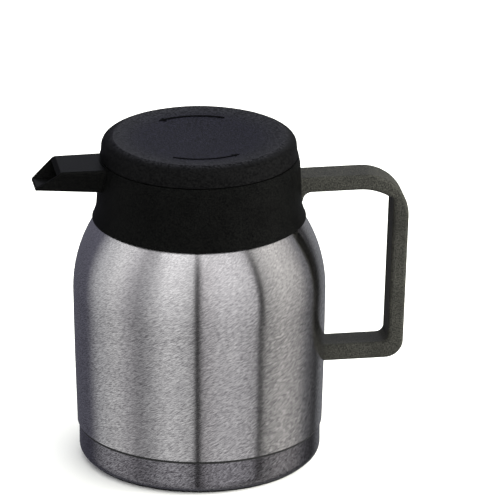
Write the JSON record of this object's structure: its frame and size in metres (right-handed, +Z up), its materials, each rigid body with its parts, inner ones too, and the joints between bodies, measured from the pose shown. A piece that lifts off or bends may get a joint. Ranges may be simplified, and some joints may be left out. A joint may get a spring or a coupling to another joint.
{
  "type": "vacuum coffee carafe",
  "caption": "Double-walled steel coffee carafe with a moulded collar and pouring spout, a side handle and a screw-in stopper lid.",
  "frame": {"origin": "on the carafe's axis, in the plane that its foot ring stands on", "axes": "+Z up along the carafe's axis, +X towards the handle, -X towards the spout"},
  "size_m": [0.223, 0.15, 0.2002],
  "materials": {
    "satin_steel": "satin, fine grain",
    "base_steel": "satin, fine grain",
    "flask_steel": "drawn, half bright",
    "bracket_steel": "plain",
    "screw_steel": "plain",
    "foil": "bright foil",
    "getter_metal": "sintered",
    "solder": "dull",
    "silicone": "translucent white",
    "foot_rubber": "matt",
    "black_plastic": "fine moulded grain",
    "handle_plastic": "satin moulded grain",
    "lid_plastic": "fine moulded grain",
    "mark_plastic": "smooth raised marks",
    "stopper_plastic": "plain",
    "sleeve_plastic": "plain",
    "foam": "rigid insulation foam"
  },
  "bodies": {
    "jug": {"outer_shell": "satin_steel", "inner_flask": "flask_steel", "shell_bottom": "flask_steel", "radiation_shield": "foil", "getter": "getter_metal", "vacuum_seal": "solder", "neck_ring": "flask_steel", "neck_gasket": "silicone", "base_cup": "base_steel", "base_gasket": "foot_rubber", "foot_ring": "foot_rubber", "collar": "black_plastic", "neck_sleeve": "sleeve_plastic", "handle": "handle_plastic", "handle_bracket": "bracket_steel", "handle_screws": "screw_steel"},
    "seal": {"stopper_seal": "silicone"},
    "lid": {"stopper": "stopper_plastic", "stopper_base": "stopper_plastic", "stopper_foam": "foam", "lid_cap": "lid_plastic", "lid_disc": "lid_plastic", "lid_screws": "screw_steel", "turn_marks": "mark_plastic"}
  },
  "joints": [
    {"name": "lid_rise", "type": "slide", "parent": "jug", "child": "seal", "axis": [0, 0, 1], "range_m": [0, 0.04]},
    {"name": "lid_turn", "type": "hinge", "parent": "seal", "child": "lid", "pos_m": [0, 0, 0.19], "axis": [0, 0, 1], "range_deg": [0, 600]}
  ],
  "couplings": [
    {"joint": "lid_rise", "follows": "lid_turn", "m_per_rad": 0.0038197}
  ]
}
